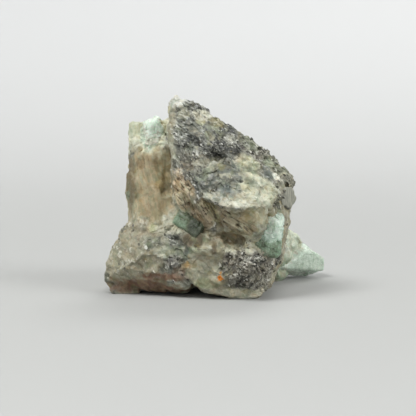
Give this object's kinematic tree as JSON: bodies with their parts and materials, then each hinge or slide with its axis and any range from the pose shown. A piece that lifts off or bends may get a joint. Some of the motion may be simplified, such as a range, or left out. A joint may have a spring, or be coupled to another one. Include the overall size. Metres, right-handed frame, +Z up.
{
  "type": "emerald in matrix",
  "caption": "Broken hand specimen of mica schist with a leaning peaked face, short green beryl prisms and a mica book set in it.",
  "frame": {"origin": "bottom centre of the bounding box, on the plane the specimen rests on", "axes": "+Z up from the broken underside, -Y towards the overhanging front face, +X towards the crystal that juts out at the rear right"},
  "size_m": [0.04, 0.038, 0.0351],
  "materials": {
    "schist": "rough broken mica schist, grey-green to olive, with glinting mica scales",
    "emerald": "cloudy pale green beryl with a waxy to glassy break",
    "mica": "dark silvery mica sheets with a pearly sheen"
  },
  "bodies": {
    "root": {"matrix": "schist", "emerald_upper_left": "emerald", "emerald_centre": "emerald", "emerald_right": "emerald", "emerald_rear": "emerald", "mica_book": "mica"}
  },
  "joints": []
}
